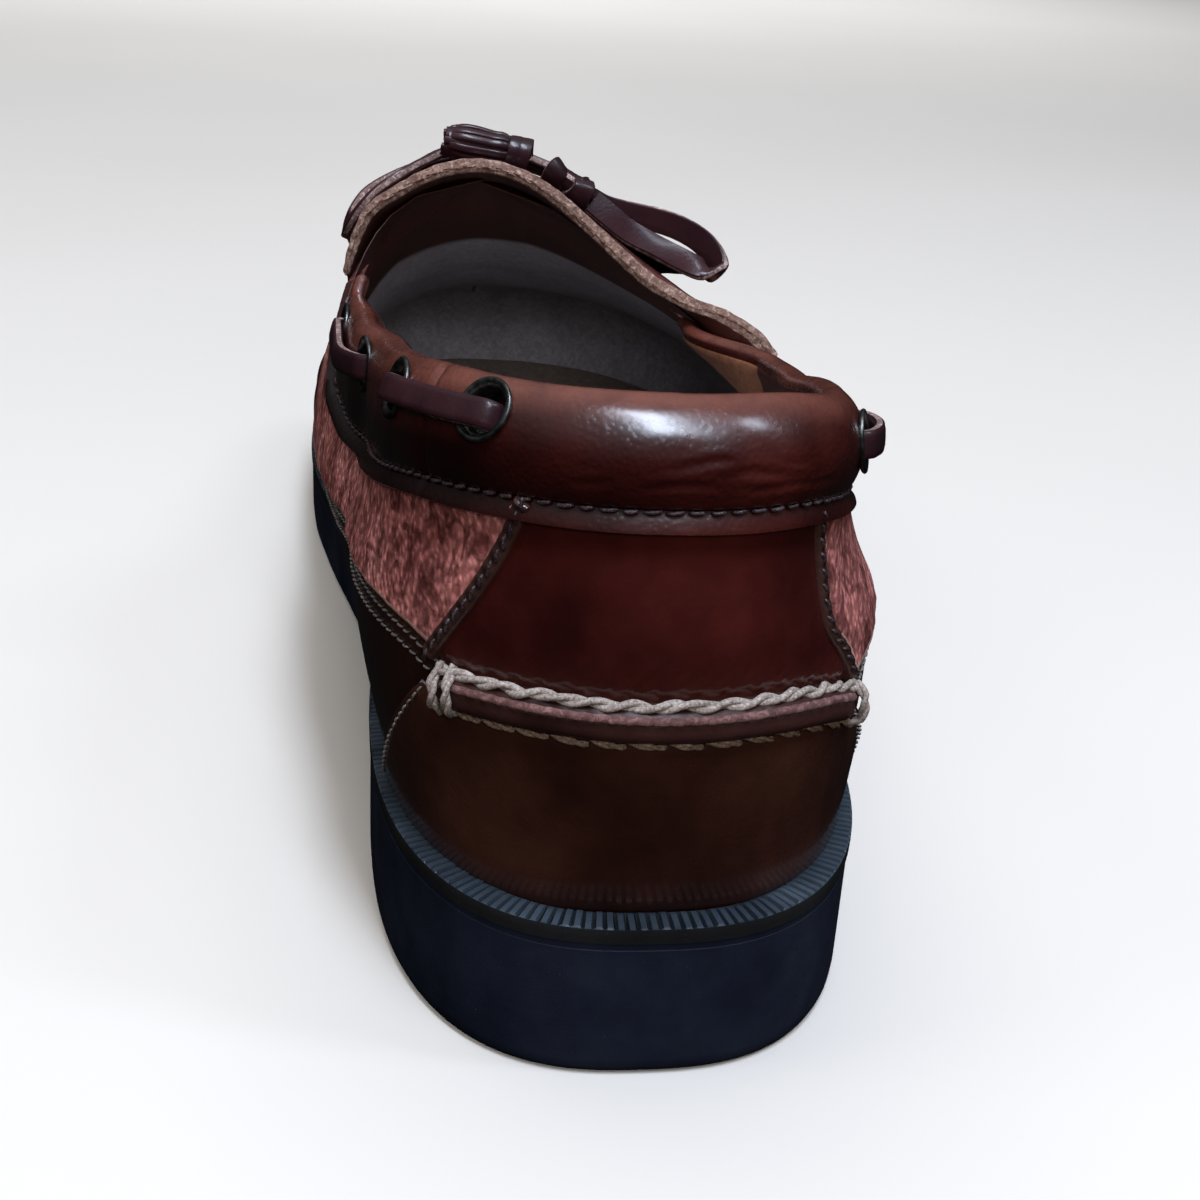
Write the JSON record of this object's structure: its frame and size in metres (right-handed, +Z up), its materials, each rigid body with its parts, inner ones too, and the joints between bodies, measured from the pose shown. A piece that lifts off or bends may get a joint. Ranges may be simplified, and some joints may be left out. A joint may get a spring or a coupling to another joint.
{
  "type": "kiltie tassel loafer",
  "caption": "Right leather loafer with a padded lace-threaded collar, fringed kiltie, tasselled bow, raised handsewn seams and a low-heeled rubber sole.",
  "frame": {"origin": "on the floor under the middle of the shoe's footprint", "axes": "+Y from heel to toe, +X to the outer (little toe) side of this right shoe, +Z up"},
  "size_m": [0.1062, 0.3009, 0.1107],
  "materials": {
    "sole_rubber": "matte navy-black moulded rubber",
    "welt_rubber": "ribbed dark blue-grey rubber",
    "insole_leather": "dull brown sock lining",
    "oxblood_leather": "glossy waxed oxblood leather",
    "collar_leather": "glossy waxed oxblood leather, softly padded",
    "tongue_leather": "dark brown leather with a raw tan edge",
    "kiltie_leather": "dark oxblood leather, cut into a fringe",
    "lace_leather": "dull purple-brown rawhide lace",
    "eyelet_brass": "antiqued dark brass"
  },
  "bodies": {
    "root": {"outsole": "sole_rubber", "welt": "welt_rubber", "insole": "insole_leather", "upper": "oxblood_leather", "collar": "collar_leather", "tongue": "tongue_leather", "kiltie": "kiltie_leather", "heel_ridge": "oxblood_leather", "apron_ridge": "oxblood_leather", "eyelet_1": "eyelet_brass", "eyelet_2": "eyelet_brass", "eyelet_3": "eyelet_brass", "eyelet_4": "eyelet_brass", "eyelet_5": "eyelet_brass", "eyelet_6": "eyelet_brass", "eyelet_7": "eyelet_brass", "eyelet_8": "eyelet_brass", "lace_run_1": "lace_leather", "lace_run_2": "lace_leather", "lace_run_3": "lace_leather", "lace_run_4": "lace_leather", "bow_inner_loop": "lace_leather", "bow_outer_loop": "lace_leather", "bow_knot": "lace_leather", "tassel_inner": "lace_leather", "tassel_outer": "lace_leather"}
  },
  "joints": []
}
